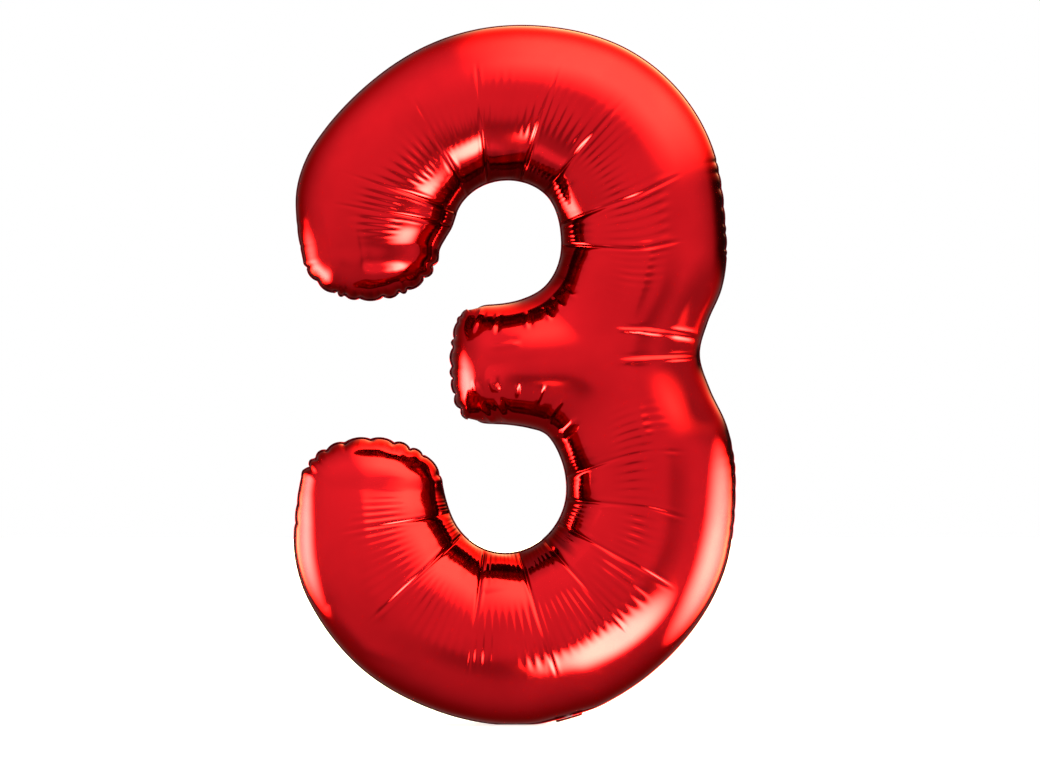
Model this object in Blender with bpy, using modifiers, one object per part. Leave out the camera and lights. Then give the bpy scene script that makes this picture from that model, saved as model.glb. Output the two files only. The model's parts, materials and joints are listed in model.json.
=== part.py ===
"""Foil balloon in the shape of a figure three, filled, with its neck folded behind it.

Metres, +Z up. The seal lies in the plane Y = 0 and the front panel faces -Y. The origin is at
the middle of the figure's base. Angles are in degrees, anticlockwise from +X about a bowl's centre.
"""

import math

import bmesh
import bpy
import numpy as np
from mathutils import Matrix

# ---------------------------------------------------------------- outline of the seal
LOWER_CENTRE = (-0.0129, 0.2887)
BOWL_SPACING = 0.3035
UPPER_CENTRE = (-0.0104, LOWER_CENTRE[1] + BOWL_SPACING)
BETWEEN_BOWLS = LOWER_CENTRE[1] + BOWL_SPACING / 2
UPPER_OUTER = {184: 0.250, 165: 0.2645, 130: 0.258, 105: 0.263, 80: 0.271, 55: 0.283, 35: 0.284, 15: 0.277, 0: 0.271}
LOWER_OUTER = {-182: 0.250, -160: 0.270, -130: 0.280, -105: 0.284, -80: 0.2915, -50: 0.290, -20: 0.290, 10: 0.285}
UPPER_COUNTER = {184: 0.079, 168: 0.068, 130: 0.073, 90: 0.0765, 50: 0.077, 10: 0.069, -50: 0.072}
LOWER_COUNTER = {-182: 0.073, -160: 0.070, -90: 0.077, -20: 0.077, 20: 0.079, 50: 0.086}
UPPER_TERMINAL = 184
LOWER_TERMINAL = -182
TERMINAL_LENGTH = 0.060
WAIST = (0.2291, BETWEEN_BOWLS + 0.0141)
JUNCTION = (0.1149, BETWEEN_BOWLS + 0.0079)
UPPER_ARM_ANGLE = -50
LOWER_ARM_ANGLE = 50
ARM_TOP_DROP = 0.0767
ARM_BOTTOM_RISE = 0.0818
ARM_END_X = -0.0530
ARM_TIP_LENGTH = 0.0260

# ---------------------------------------------------------------- depth of the filled body
UPPER_DEPTH = {184: 0.062, 165: 0.077, 140: 0.087, 100: 0.091, 50: 0.092, 0: 0.089, -50: 0.100}
LOWER_DEPTH = {-182: 0.062, -165: 0.077, -140: 0.090, -110: 0.098, -50: 0.098, 0: 0.093, 50: 0.100}
JUNCTION_DEPTH = 0.104
ARM_END_DEPTH = 0.046
DOME_SHARE = 0.66
DOME_HEIGHT = 0.76

# ---------------------------------------------------------------- film and seal
FILM = 0.0006
SEAL_WIDTH = 0.0050
SEAL_THICKNESS = 0.0010
PANEL_FOOTHOLD = 0.0008
CLEARANCE = 0.0003

# ---------------------------------------------------------------- neck and valve
NECK_ANGLE = -70
NECK_WIDTH = 0.034
NECK_LENGTH = 0.045
NECK_SEAL_WIDTH = 0.004
NECK_FOLD = 104
NECK_STANDOFF = 0.0008
NECK_START = 0.0005
VALVE_FILM = 0.0003
VALVE_LENGTH = 0.120
VALVE_START = 0.0013
MOUTH_SETBACK = 0.006
CORNER = 0.003

# ---------------------------------------------------------------- fineness of the cage
BOWL_ROWS = 12
ARM_ROWS = 3
COLUMNS = 6
BEND_POWER = 4


def clear_scene():
    for ob in list(bpy.data.objects):
        bpy.data.objects.remove(ob)


def make_material(name, colour, metallic, roughness, alpha=1.0):
    mat = bpy.data.materials.new(name)
    mat.use_nodes = True
    surface = mat.node_tree.nodes["Principled BSDF"]
    surface.inputs["Base Color"].default_value = (*colour, 1.0)
    surface.inputs["Metallic"].default_value = metallic
    surface.inputs["Roughness"].default_value = roughness
    surface.inputs["Alpha"].default_value = alpha
    return mat


def along(stations, angle):
    """Value at an angle, on a smooth curve through the stations."""
    keys = sorted(stations)
    values = [stations[k] for k in keys]
    angle = min(max(angle, keys[0]), keys[-1])
    i = max(n for n, k in enumerate(keys) if k <= angle)
    i = min(i, len(keys) - 2)
    slopes = []
    for n in (i, i + 1):
        before = max(n - 1, 0)
        after = min(n + 1, len(keys) - 1)
        slopes.append((values[after] - values[before]) / (keys[after] - keys[before]))
    span = keys[i + 1] - keys[i]
    t = (angle - keys[i]) / span
    start = (2 * t**3 - 3 * t**2 + 1) * values[i] + (t**3 - 2 * t**2 + t) * span * slopes[0]
    end = (3 * t**2 - 2 * t**3) * values[i + 1] + (t**3 - t**2) * span * slopes[1]
    return start + end


def polar(centre, radius, angle):
    turn = math.radians(angle)
    return np.array([centre[0] + radius * math.cos(turn), centre[1] + radius * math.sin(turn)])


def polar_of(centre, point):
    """Angle and radius of a point about a centre."""
    dx = point[0] - centre[0]
    dz = point[1] - centre[1]
    return math.degrees(math.atan2(dz, dx)), math.hypot(dx, dz)


def mix(a, b, share):
    return a + (b - a) * share


def bowl_ends(centre, outer, counter, terminal, arm_angle):
    """Outer and inner ends of each row across a bowl, from its terminal to the waist."""
    waist_angle, waist_radius = polar_of(centre, WAIST)
    outer = {**outer, waist_angle: waist_radius}
    rows = []
    for i in range(BOWL_ROWS + 1):
        share = i / BOWL_ROWS
        out_angle = mix(terminal, waist_angle, share)
        in_angle = mix(terminal, arm_angle, share)
        out_point = polar(centre, along(outer, out_angle), out_angle)
        in_point = polar(centre, along(counter, in_angle), in_angle)
        rows.append((out_point, in_point))
    return rows


def arm_edge(centre, counter, arm_angle, level):
    """One long edge of the arm: it leaves the counter along its tangent and runs level to the tip."""
    start = polar(centre, along(counter, arm_angle), arm_angle)
    turn = math.radians(arm_angle)
    tangent = np.array([-math.sin(turn), math.cos(turn)])
    corner = start + tangent * (level - start[1]) / tangent[1]
    end = np.array([ARM_END_X, level])
    points = []
    for j in range(ARM_ROWS + 1):
        t = j / ARM_ROWS
        points.append((1 - t) ** 2 * start + 2 * t * (1 - t) * corner + t**2 * end)
    return points


def end_curve(first, last, length, outwards):
    """Points round a stroke's end, a half ellipse beyond the row from first to last, ends left out."""
    middle = (first + last) / 2
    half = (first - last) / 2
    steps = COLUMNS + 4
    points = []
    for k in range(1, steps):
        turn = math.pi * k / steps
        points.append(middle + half * math.cos(turn) + outwards * length * math.sin(turn))
    return points


def square_to(vector, towards):
    """Unit vector at right angles to a row, on the given side."""
    normal = np.array([-vector[1], vector[0]]) / np.linalg.norm(vector)
    return normal if normal @ towards > 0 else -normal


def stroke_rows():
    """The three strokes as rows of outline targets: the two bowls and the arm, with their end curves."""
    upper = bowl_ends(UPPER_CENTRE, UPPER_OUTER, UPPER_COUNTER, UPPER_TERMINAL, UPPER_ARM_ANGLE)
    lower = bowl_ends(LOWER_CENTRE, LOWER_OUTER, LOWER_COUNTER, LOWER_TERMINAL, LOWER_ARM_ANGLE)
    top = arm_edge(UPPER_CENTRE, UPPER_COUNTER, UPPER_ARM_ANGLE, UPPER_CENTRE[1] - ARM_TOP_DROP)
    bottom = arm_edge(LOWER_CENTRE, LOWER_COUNTER, LOWER_ARM_ANGLE, LOWER_CENTRE[1] + ARM_BOTTOM_RISE)
    arm = list(zip(top, bottom, strict=True))[::-1]
    strokes = []
    for rows, length in ((upper, TERMINAL_LENGTH), (lower, TERMINAL_LENGTH), (arm, ARM_TIP_LENGTH)):
        first, last = rows[0]
        away = (first + last) / 2 - (rows[1][0] + rows[1][1]) / 2
        outwards = square_to(first - last, away)
        strokes.append({"rows": rows, "end": end_curve(first, last, length, outwards)})
    return strokes


def outline_targets(strokes):
    """The closed outline, clockwise from the waist round the lower bowl, the arm and the upper bowl."""
    upper, lower, arm = strokes
    loop = [row[0] for row in lower["rows"][::-1]]
    loop += lower["end"]
    loop += [row[1] for row in lower["rows"]]
    loop += [row[1] for row in arm["rows"][::-1][1:]]
    loop += arm["end"][::-1]
    loop += [row[0] for row in arm["rows"]]
    loop += [row[1] for row in upper["rows"][::-1][1:]]
    loop += upper["end"][::-1]
    loop += [row[0] for row in upper["rows"][:-1]]
    return np.array(loop)


def inset(loop, distance):
    """The closed clockwise loop moved inwards along its own normals."""
    ahead = np.roll(loop, -1, axis=0) - np.roll(loop, 1, axis=0)
    ahead = ahead / np.linalg.norm(ahead, axis=1)[:, None]
    return loop + distance * np.stack([ahead[:, 1], -ahead[:, 0]], axis=1)


def cage_through(loop):
    """Control points whose smooth boundary curve passes through the loop's points."""
    count = len(loop)
    weights = np.zeros((count, count))
    for i in range(count):
        weights[i, i] = 4 / 6
        weights[i, i - 1] = 1 / 6
        weights[i, (i + 1) % count] = 1 / 6
    return np.linalg.solve(weights, loop)


def smooth_loop(cage):
    """The boundary curve that the panels' subdivided cage gives, with a point on and between each pair."""
    before = np.roll(cage, 1, axis=0)
    after = np.roll(cage, -1, axis=0)
    beyond = np.roll(cage, -2, axis=0)
    on_point = (before + 4 * cage + after) / 6
    between = (before + 23 * cage + 23 * after + beyond) / 48
    return np.stack([on_point, between], axis=1).reshape(-1, 2)


def across_profile():
    """Place across a row and height of each column, for a round section."""
    step = math.pi / COLUMNS
    grow = 3 / (2 + math.cos(step))
    columns = []
    for k in range(COLUMNS + 1):
        turn = step * k
        if k in (0, COLUMNS):
            columns.append(((1 - math.cos(turn)) / 2, 0.0))
        else:
            columns.append(((1 - grow * math.cos(turn)) / 2, grow * math.sin(turn)))
    return columns


def row_points(first, middle, last, depth):
    """One row of the cage: in-plane points along first-middle-last, each with its height."""
    row = []
    for share, height in across_profile():
        if share <= 0.5:
            point = mix(first, middle, 2 * share)
        else:
            point = mix(middle, last, 2 * share - 1)
        row.append((point[0], point[1], depth * height))
    return row


def stroke_grid(stroke, edges, depths):
    """A stroke's cage, row by row from its end curve to the junction."""
    first, last = edges["first"], edges["last"]
    count = len(first)
    junction = np.array(JUNCTION)
    shift = junction - (first[-1] + last[-1]) / 2
    rows = []
    for i in range(count):
        bend = (i / (count - 1)) ** BEND_POWER
        middle = (first[i] + last[i]) / 2 + bend * shift
        rows.append(row_points(first[i], middle, last[i], depths[i]))
    straight = rows[0]
    end = edges["end"]
    rim = [(*end[k + 1], 0.0) for k in range(COLUMNS + 1)]
    dome = []
    for k in range(COLUMNS + 1):
        near, far = np.array(straight[k]), np.array(rim[k])
        point = mix(near, far, DOME_SHARE)
        point[2] = near[2] * DOME_HEIGHT
        dome.append(tuple(point))
    dome[0] = (*end[0], 0.0)
    dome[-1] = (*end[-1], 0.0)
    return [rim, dome, *rows]


def split_outline(strokes, loop):
    """The cage's outline cut back into each stroke's edges and end, in the order of outline_targets."""
    bowl, end, arm = BOWL_ROWS + 1, COLUMNS + 3, ARM_ROWS + 1
    sizes = [bowl, end, bowl, arm - 1, end, arm, bowl - 1, end, bowl - 1]
    pieces = []
    start = 0
    for size in sizes:
        pieces.append(loop[start : start + size])
        start += size
    lower_out, lower_end, lower_in, arm_low, arm_end, arm_top, upper_in, upper_end, upper_out = pieces
    lower = {"first": lower_out[::-1], "end": lower_end, "last": lower_in}
    arm = {"first": arm_top, "end": arm_end[::-1], "last": np.vstack([arm_low[::-1], lower_in[-1:]])}
    upper_last = np.vstack([upper_in[::-1], arm_top[-1:]])
    upper = {"first": np.vstack([upper_out, lower_out[:1]]), "end": upper_end[::-1], "last": upper_last}
    return upper, lower, arm


def bowl_depths(depths, terminal, arm_angle):
    found = [along(depths, mix(terminal, arm_angle, i / BOWL_ROWS)) for i in range(BOWL_ROWS)]
    return [*found, JUNCTION_DEPTH]


def panel_cage(strokes, outline):
    """The half-body's cage as three grids that share the rows and points at the junction."""
    base = cage_through(inset(outline, SEAL_WIDTH - PANEL_FOOTHOLD))
    edges = split_outline(strokes, base)
    arm_depths = [mix(ARM_END_DEPTH, JUNCTION_DEPTH, j / ARM_ROWS) for j in range(ARM_ROWS + 1)]
    depths = (
        bowl_depths(UPPER_DEPTH, UPPER_TERMINAL, UPPER_ARM_ANGLE),
        bowl_depths(LOWER_DEPTH, LOWER_TERMINAL, LOWER_ARM_ANGLE),
        arm_depths,
    )
    return [stroke_grid(s, e, d) for s, e, d in zip(strokes, edges, depths, strict=True)]


def make_panel(name, grids, side, material, base, collection):
    """One half of the body: a cage lofted over the three strokes, subdivided and given the film's wall."""
    start = SEAL_THICKNESS / 2 + CLEARANCE + FILM / 2  # the leaning wall's inner rim dips by up to half the film
    mesh = bmesh.new()
    for grid in grids:
        made = []
        for row in grid:
            made.append([mesh.verts.new((x, side * (start + h), z)) for x, z, h in row])
        for low, high in zip(made, made[1:], strict=False):
            for k in range(COLUMNS):
                mesh.faces.new((low[k], low[k + 1], high[k + 1], high[k]))
    bmesh.ops.remove_doubles(mesh, verts=mesh.verts, dist=1e-6)
    bmesh.ops.recalc_face_normals(mesh, faces=mesh.faces)
    if sum(side * f.normal.y * f.calc_area() for f in mesh.faces) < 0:
        bmesh.ops.reverse_faces(mesh, faces=mesh.faces)
    ob = finish_mesh(name, mesh, material, base, collection)
    ob.data.shade_smooth()
    smooth = ob.modifiers.new("Rounded", "SUBSURF")
    smooth.levels = 1
    smooth.render_levels = 1
    wall = ob.modifiers.new("Film", "SOLIDIFY")
    wall.thickness = FILM
    wall.offset = -1
    return ob


def finish_mesh(name, mesh, material, parent, collection):
    data = bpy.data.meshes.new(name)
    mesh.to_mesh(data)
    mesh.free()
    data.materials.append(material)
    ob = bpy.data.objects.new(name, data)
    ob.parent = parent
    collection.objects.link(ob)
    return ob


def neck_frame(outline):
    """Place and in-plane direction of the neck: where a ray at its angle leaves the outline."""
    angles = [polar_of(LOWER_CENTRE, p)[0] for p in outline]
    radii = [polar_of(LOWER_CENTRE, p)[1] for p in outline]
    reach = max(LOWER_OUTER.values()) * 1.1
    outside = [i for i, r in enumerate(radii) if reach > r > reach / 2]
    at = min(outside, key=lambda i: abs(angles[i] - NECK_ANGLE))
    ahead = outline[(at + 1) % len(outline)] - outline[at - 1]
    outwards = np.array([-ahead[1], ahead[0]]) / np.linalg.norm(ahead)
    return at, outline[at], outwards


def make_base(outline, collection):
    """The frame that everything hangs from: it puts the middle of the outline's base at the origin."""
    middle = (outline[:, 0].min() + outline[:, 0].max()) / 2
    base = bpy.data.objects.new("figure_base", None)
    base.location = (-middle, 0.0, -outline[:, 1].min())
    collection.objects.link(base)
    return base


def make_seal(outline, at, material, base, collection):
    """The flat weld round the outline, open where the neck leaves it."""
    inner = inset(outline, SEAL_WIDTH)
    order = np.roll(np.arange(len(outline)), -at)
    reach = NECK_WIDTH / 2 + CLEARANCE
    outer_path = trim(outline[order], outline[at], reach)
    inner_path = trim(inner[order], inner[at], reach)
    points = [*outer_path, *inner_path[::-1]]
    curve = bpy.data.curves.new("seal_band", "CURVE")
    curve.dimensions = "2D"
    curve.fill_mode = "BOTH"
    curve.extrude = SEAL_THICKNESS / 2
    curve.materials.append(material)
    spline = curve.splines.new("POLY")
    spline.points.add(len(points) - 1)
    for point, place in zip(spline.points, points, strict=True):
        point.co = (place[0], place[1], 0.0, 1.0)
    spline.use_cyclic_u = True
    ob = bpy.data.objects.new("seal_band", curve)
    ob.rotation_euler = (math.pi / 2, 0.0, 0.0)
    ob.parent = base
    collection.objects.link(ob)
    return ob


def trim(path, centre, reach):
    """An open path that starts and ends at a distance from its first point, cut on its own segments."""
    path = np.vstack([path, path[:1]])
    away = np.linalg.norm(path - centre, axis=1)
    outside = np.flatnonzero(away >= reach)
    start, end = outside[0], outside[-1]
    first = cut(path[start - 1], path[start], centre, reach)
    last = cut(path[end + 1], path[end], centre, reach)
    return np.vstack([first, path[start : end + 1], last])


def cut(inside, outside, centre, reach):
    """The point on a segment that is just at a distance from the centre."""
    low, high = 0.0, 1.0
    for _ in range(40):
        middle = (low + high) / 2
        if np.linalg.norm(mix(inside, outside, middle) - centre) < reach:
            low = middle
        else:
            high = middle
    return mix(inside, outside, high)


def make_strip(name, size, place, corners, material, parent, collection):
    """A flat strip of film or weld; its far corners can be rounded."""
    width, thickness, length = size
    mesh = bmesh.new()
    bmesh.ops.create_cube(mesh, size=1.0, matrix=Matrix.Diagonal((width, thickness, length, 1.0)))
    if corners:
        tall = [e for e in mesh.edges if abs(e.verts[0].co.y - e.verts[1].co.y) > thickness / 2]
        far = [e for e in tall if corners * e.verts[0].co.z > 0]
        bmesh.ops.bevel(mesh, geom=far, offset=CORNER, segments=3, affect="EDGES", profile=0.5)
    ob = finish_mesh(name, mesh, material, parent, collection)
    ob.location = place
    return ob


def make_empty(name, point, outwards, fold, base, collection):
    """A frame on the outline: its Z points outwards and its X along the fold, turned back by the fold."""
    empty = bpy.data.objects.new(name, None)
    empty.empty_display_size = NECK_WIDTH / 2
    turn = math.atan2(outwards[0], outwards[1])
    place = Matrix.Translation((point[0], 0.0, point[1]))
    spin = Matrix.Rotation(turn, 4, "Y") @ Matrix.Rotation(-math.radians(fold), 4, "X")
    empty.parent = base
    empty.matrix_local = place @ spin
    collection.objects.link(empty)
    return empty


def make_neck(point, outwards, materials, base, collection):
    """The neck's two films, side welds and the mouth of the valve, on the fold's own axis."""
    axis_point = point + outwards * NECK_STANDOFF
    hinge = make_empty("neck_hinge", axis_point, outwards, NECK_FOLD, base, collection)
    foil, weld, valve = materials["foil"], materials["weld"], materials["valve"]
    valve_y = CLEARANCE / 2 + VALVE_FILM / 2
    film_y = CLEARANCE / 2 + VALVE_FILM + CLEARANCE + FILM / 2
    middle_z = NECK_START + NECK_LENGTH / 2
    weld_thickness = 2 * (film_y - FILM / 2 - CLEARANCE)
    for name, side in (("neck_front", -1), ("neck_rear", 1)):
        size = (NECK_WIDTH, FILM, NECK_LENGTH)
        make_strip(name, size, (0.0, side * film_y, middle_z), 1, foil, hinge, collection)
    for name, side in (("neck_seal_left", 1), ("neck_seal_right", -1)):
        x = side * (NECK_WIDTH - NECK_SEAL_WIDTH) / 2
        length = NECK_LENGTH - CORNER
        size = (NECK_SEAL_WIDTH, weld_thickness, length)
        make_strip(name, size, (x, 0.0, NECK_START + length / 2), 0, weld, hinge, collection)
    mouth_length = NECK_LENGTH - MOUTH_SETBACK
    for name, side in (("valve_mouth_front", -1), ("valve_mouth_rear", 1)):
        size = (valve_width(), VALVE_FILM, mouth_length)
        place = (0.0, side * valve_y, NECK_START + mouth_length / 2)
        make_strip(name, size, place, 0, valve, hinge, collection)


def valve_width():
    """What fits between the neck's side welds."""
    return NECK_WIDTH - 2 * NECK_SEAL_WIDTH - 2 * CLEARANCE


def make_valve(point, outwards, material, base, collection):
    """The valve's two films inside the body, from the neck inwards."""
    root = make_empty("valve_root", point, outwards, 0, base, collection)
    y = CLEARANCE / 2 + VALVE_FILM / 2
    z = -VALVE_START - VALVE_LENGTH / 2
    for name, side in (("valve_film_front", -1), ("valve_film_rear", 1)):
        size = (valve_width(), VALVE_FILM, VALVE_LENGTH)
        make_strip(name, size, (0.0, side * y, z), -1, material, root, collection)


def main():
    clear_scene()
    collection = bpy.data.collections.new("foil_balloon_three")
    bpy.context.scene.collection.children.link(collection)
    materials = {
        "foil": make_material("red_foil", (0.62, 0.006, 0.014), 0.9, 0.16),
        "weld": make_material("welded_foil", (0.42, 0.004, 0.012), 0.9, 0.26),
        "valve": make_material("clear_film", (0.82, 0.82, 0.84), 0.0, 0.35, 0.5),
    }
    strokes = stroke_rows()
    outline = outline_targets(strokes)
    grids = panel_cage(strokes, outline)
    curve = smooth_loop(cage_through(outline))
    base = make_base(curve, collection)
    make_panel("front_panel", grids, -1, materials["foil"], base, collection)
    make_panel("rear_panel", grids, 1, materials["foil"], base, collection)
    at, point, outwards = neck_frame(curve)
    make_seal(curve, at, materials["weld"], base, collection)
    make_neck(point, outwards, materials, base, collection)
    make_valve(point, outwards, materials["valve"], base, collection)


main()
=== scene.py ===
import json
import math

import bmesh
import bpy
import numpy as np
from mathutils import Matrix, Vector, kdtree

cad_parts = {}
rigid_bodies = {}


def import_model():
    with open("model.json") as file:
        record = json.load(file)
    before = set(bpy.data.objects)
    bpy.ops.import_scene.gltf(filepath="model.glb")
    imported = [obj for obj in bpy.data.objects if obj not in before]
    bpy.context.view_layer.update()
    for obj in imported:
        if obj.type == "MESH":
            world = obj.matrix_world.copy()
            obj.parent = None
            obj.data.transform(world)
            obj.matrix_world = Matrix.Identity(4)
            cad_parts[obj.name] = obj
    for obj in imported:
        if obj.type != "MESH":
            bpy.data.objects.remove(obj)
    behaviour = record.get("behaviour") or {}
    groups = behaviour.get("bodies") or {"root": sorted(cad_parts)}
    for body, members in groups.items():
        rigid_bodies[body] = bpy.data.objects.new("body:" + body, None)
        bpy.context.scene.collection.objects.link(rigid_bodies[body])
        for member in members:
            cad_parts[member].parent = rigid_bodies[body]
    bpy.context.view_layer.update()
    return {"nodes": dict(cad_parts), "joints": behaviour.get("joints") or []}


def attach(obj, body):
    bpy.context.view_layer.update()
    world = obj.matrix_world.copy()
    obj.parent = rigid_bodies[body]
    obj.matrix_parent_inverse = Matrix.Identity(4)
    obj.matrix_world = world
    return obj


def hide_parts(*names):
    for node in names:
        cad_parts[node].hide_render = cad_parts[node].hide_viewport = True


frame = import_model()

bpy.ops.object.select_all(action="DESELECT")
scene = bpy.context.scene
print("frame loaded")


# camera, square on to the front
view = {"centre": (0.0063, 0.4235), "distance": 6.0, "width": 1.2777, "sensor": 36.0}

bpy.ops.object.camera_add(location=(view["centre"][0], -view["distance"], view["centre"][1]))
camera = bpy.context.object
camera.name = "camera"
camera.rotation_euler = (math.pi / 2, 0, 0)
camera.data.sensor_width = view["sensor"]
camera.data.lens = view["sensor"] * view["distance"] / view["width"]
scene.camera = camera
print("camera set")


# marks on the outline of the figure and inside it, in x and z
figure = {
    "upperCentre": (-0.0121, 0.5919),
    "lowerCentre": (-0.0146, 0.2884),
    "junction": (0.1132, 0.4481),
    "waist": (0.2274, 0.4541),
    "upperOuter": (-0.2615, 0.5745),
    "upperInner": (-0.0909, 0.5864),
    "armTop": (0.0342, 0.5367),
    "tipTop": (-0.0547, 0.5152),
    "tipBottom": (-0.0547, 0.3702),
    "armBottom": (0.0407, 0.3543),
    "lowerInner": (-0.0876, 0.2909),
    "lowerOuter": (-0.2644, 0.2971),
    "upperRightTop": (0.2440, 0.7060),
    "upperRightEnd": (0.2580, 0.5650),
    "lowerRightTop": (0.2620, 0.3620),
    "lowerRightEnd": (0.2640, 0.2020),
    "upperLeftTop": (-0.2720, 0.6300),
    "lowerLeftEnd": (-0.2720, 0.2300),
}

# how the outline is read from the welded seam of the frame
tracing = {
    "merge": 1e-6,  # points closer than this are one
    "facing": -0.9,  # a face that looks forwards has a normal y below this
    "corners": 4,  # the two ends of the seam have two each
    "between": 12,  # points worked out between two given ones
    "step": 0.001,  # distance between points of the finished outline
    "ahead": 3,  # points each way that give the direction of the outline
}


def seamLoop(node):
    # walks the front face of the seam; its longer side is the outline, closed across the neck
    mesh = bmesh.new()
    mesh.from_mesh(frame["nodes"][node].data)
    bmesh.ops.remove_doubles(mesh, verts=mesh.verts, dist=tracing["merge"])
    back = [f for f in mesh.faces if f.normal.y > tracing["facing"]]
    bmesh.ops.delete(mesh, geom=back, context="FACES")
    rim = [e for e in mesh.edges if len(e.link_faces) == 1]
    links = {}
    for e in rim:
        a, b = e.verts
        links.setdefault(a, []).append(b)
        links.setdefault(b, []).append(a)
    start = rim[0].verts[0]
    path, before, here = [start], None, start
    while True:
        ahead = [v for v in links[here] if v is not before]
        before, here = here, ahead[0]
        if here is start:
            break
        path.append(here)
    loop = np.array([(v.co.x, v.co.z) for v in path])
    mesh.free()
    step = np.roll(loop, -1, 0) - loop
    turn = np.roll(step, -1, 0)
    sine = step[:, 0] * turn[:, 1] - step[:, 1] * turn[:, 0]
    sine = sine / (np.linalg.norm(step, axis=1) * np.linalg.norm(turn, axis=1))
    sharpest = np.argsort(-np.abs(sine))[:tracing["corners"]]
    corners = sorted((sharpest + 1) % len(loop))
    runs = []
    for a, b in zip(corners, corners[1:] + [corners[0] + len(loop)]):
        runs.append(loop[np.arange(a, b + 1) % len(loop)])
    return max(runs, key=lambda r: np.linalg.norm(np.diff(r, axis=0), axis=1).sum())


def smoothClosed(points, spacing):
    # even points on a smooth closed curve through the given ones
    before, after, beyond = np.roll(points, 1, 0), np.roll(points, -1, 0), np.roll(points, -2, 0)
    parts = []
    for t in np.arange(tracing["between"]) / tracing["between"]:
        parts.append(0.5 * (2 * points + (after - before) * t
                            + (2 * before - 5 * points + 4 * after - beyond) * t * t
                            + (3 * points - before - 3 * after + beyond) * t ** 3))
    dense = np.stack(parts, 1).reshape(-1, 2)
    dense = np.vstack([dense, dense[:1]])
    run = np.concatenate([[0], np.cumsum(np.linalg.norm(np.diff(dense, axis=0), axis=1))])
    count = int(run[-1] / spacing)
    at = np.arange(count) * run[-1] / count
    return np.stack([np.interp(at, run, dense[:, k]) for k in (0, 1)], 1)


seamPath = seamLoop("seal_band")
gap = np.linalg.norm(seamPath[-1] - seamPath[0])
print("outline read:", len(seamPath), "points, neck opening", round(float(gap), 4))
outline = smoothClosed(seamPath, tracing["step"])
nextPoint = np.roll(outline, -1, 0)
area = np.sum(outline[:, 0] * nextPoint[:, 1] - outline[:, 1] * nextPoint[:, 0]) / 2
if area > 0:
    outline = outline[::-1].copy()  # clockwise: waist, lower bowl, arm, upper bowl


def nearest(name):
    return int(np.argmin(np.linalg.norm(outline - np.array(figure[name]), axis=1)))


def runOf(a, b):
    # where a run of the outline from mark a to mark b starts and ends
    i, j = nearest(a), nearest(b)
    return i, (j + len(outline) if j < i else j)


def insetLoop(loop, distance):
    ahead = np.roll(loop, -tracing["ahead"], 0) - np.roll(loop, tracing["ahead"], 0)
    ahead = ahead / np.linalg.norm(ahead, axis=1)[:, None]
    return loop + distance * np.stack([ahead[:, 1], -ahead[:, 0]], 1)


def smoothStep(low, high, value):
    t = np.clip((value - low) / (high - low), 0, 1)
    return t * t * (3 - 2 * t)


def between(rise, full, fall, gone, value):
    # 0 before rise, 1 from full to fall, 0 after gone
    return smoothStep(rise, full, value) * (1 - smoothStep(fall, gone, value))


# lobes that the weld gathers into
pucker = {
    # runs of the weld that gather into lobes: from, to, lobe length, how far they draw in
    "runs": [
        ("upperInner", "upperOuter", 0.0205, 0.0058),
        ("lowerOuter", "lowerInner", 0.0235, 0.0060),
        ("tipBottom", "tipTop", 0.0190, 0.0056),
        ("upperOuter", "upperLeftTop", 0.0200, 0.0011),
        ("lowerLeftEnd", "lowerOuter", 0.0230, 0.0022),
        ("upperRightTop", "upperRightEnd", 0.0160, 0.0015),
        ("lowerRightTop", "lowerRightEnd", 0.0180, 0.0010),
    ],
    # ends of the arm: how far its corners draw in, and over what length
    "corners": {"tipTop": (0.0075, 0.010), "tipBottom": (0.0075, 0.010)},
    "uneven": 0.50,
    "depthShare": (0.66, 0.34),  # steady and random part of a lobe's depth
    "runFade": 0.016,
    "scallop": 0.75,
    "full": 0.004,  # depth of a lobe that counts as full
    "spreadRounds": 120,
    # on the film beside a lobe: share of its depth, sine where it turns hollow, reach
    "puff": (0.75, 0.62, 0.013),
    # between two lobes: share of the depth, width at the weld, widening, reach
    "notch": (-0.60, 0.13, 0.5, 0.015),
    "pullReach": 0.010,
    "seed": 21,
}


def lobes():
    # for each point of the outline: how far it draws in, place within its lobe, height of the puckers
    rng = np.random.default_rng(pucker["seed"])
    count = len(outline)
    inwards, place, height = np.zeros(count), np.full(count, 0.5), np.zeros(count)
    step = tracing["step"]
    steady, loose = pucker["depthShare"]
    for a, b, length, depth in pucker["runs"]:
        i, j = runOf(a, b)
        number = max(int(round((j - i) * step / length)), 2)
        sizes = 1 + pucker["uneven"] * rng.uniform(-1, 1, number)
        marks = i + np.concatenate([[0], np.cumsum(sizes)]) / sizes.sum() * (j - i)
        for low, high in zip(marks, marks[1:]):
            at = np.arange(int(np.ceil(low)), int(np.ceil(high)))
            t = (at - low) / (high - low)
            edge = np.minimum(at - i, j - at) * step
            fade = smoothStep(-step, pucker["runFade"], edge)
            level = depth * (steady + loose * rng.uniform(-1, 1)) * fade
            at = at % count
            place[at] = t
            height[at] = level
            inwards[at] = level * (1 - np.sin(np.pi * t) ** pucker["scallop"])
    for name, (depth, reach) in pucker["corners"].items():
        along = np.abs((np.arange(count) - nearest(name) + count // 2) % count - count // 2) * step
        inwards += depth * np.exp(-(along / reach) ** 2)
    return inwards, place, height


lobeIn, lobePlace, lobeHeight = lobes()
inwardOf = insetLoop(outline, 1.0) - outline
rimSpread = np.clip(lobeHeight / pucker["full"], 0, 1)
for _ in range(pucker["spreadRounds"]):
    rimSpread = (np.roll(rimSpread, 1) + np.roll(rimSpread, -1) + rimSpread) / 3
print("lobes laid out")


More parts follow.
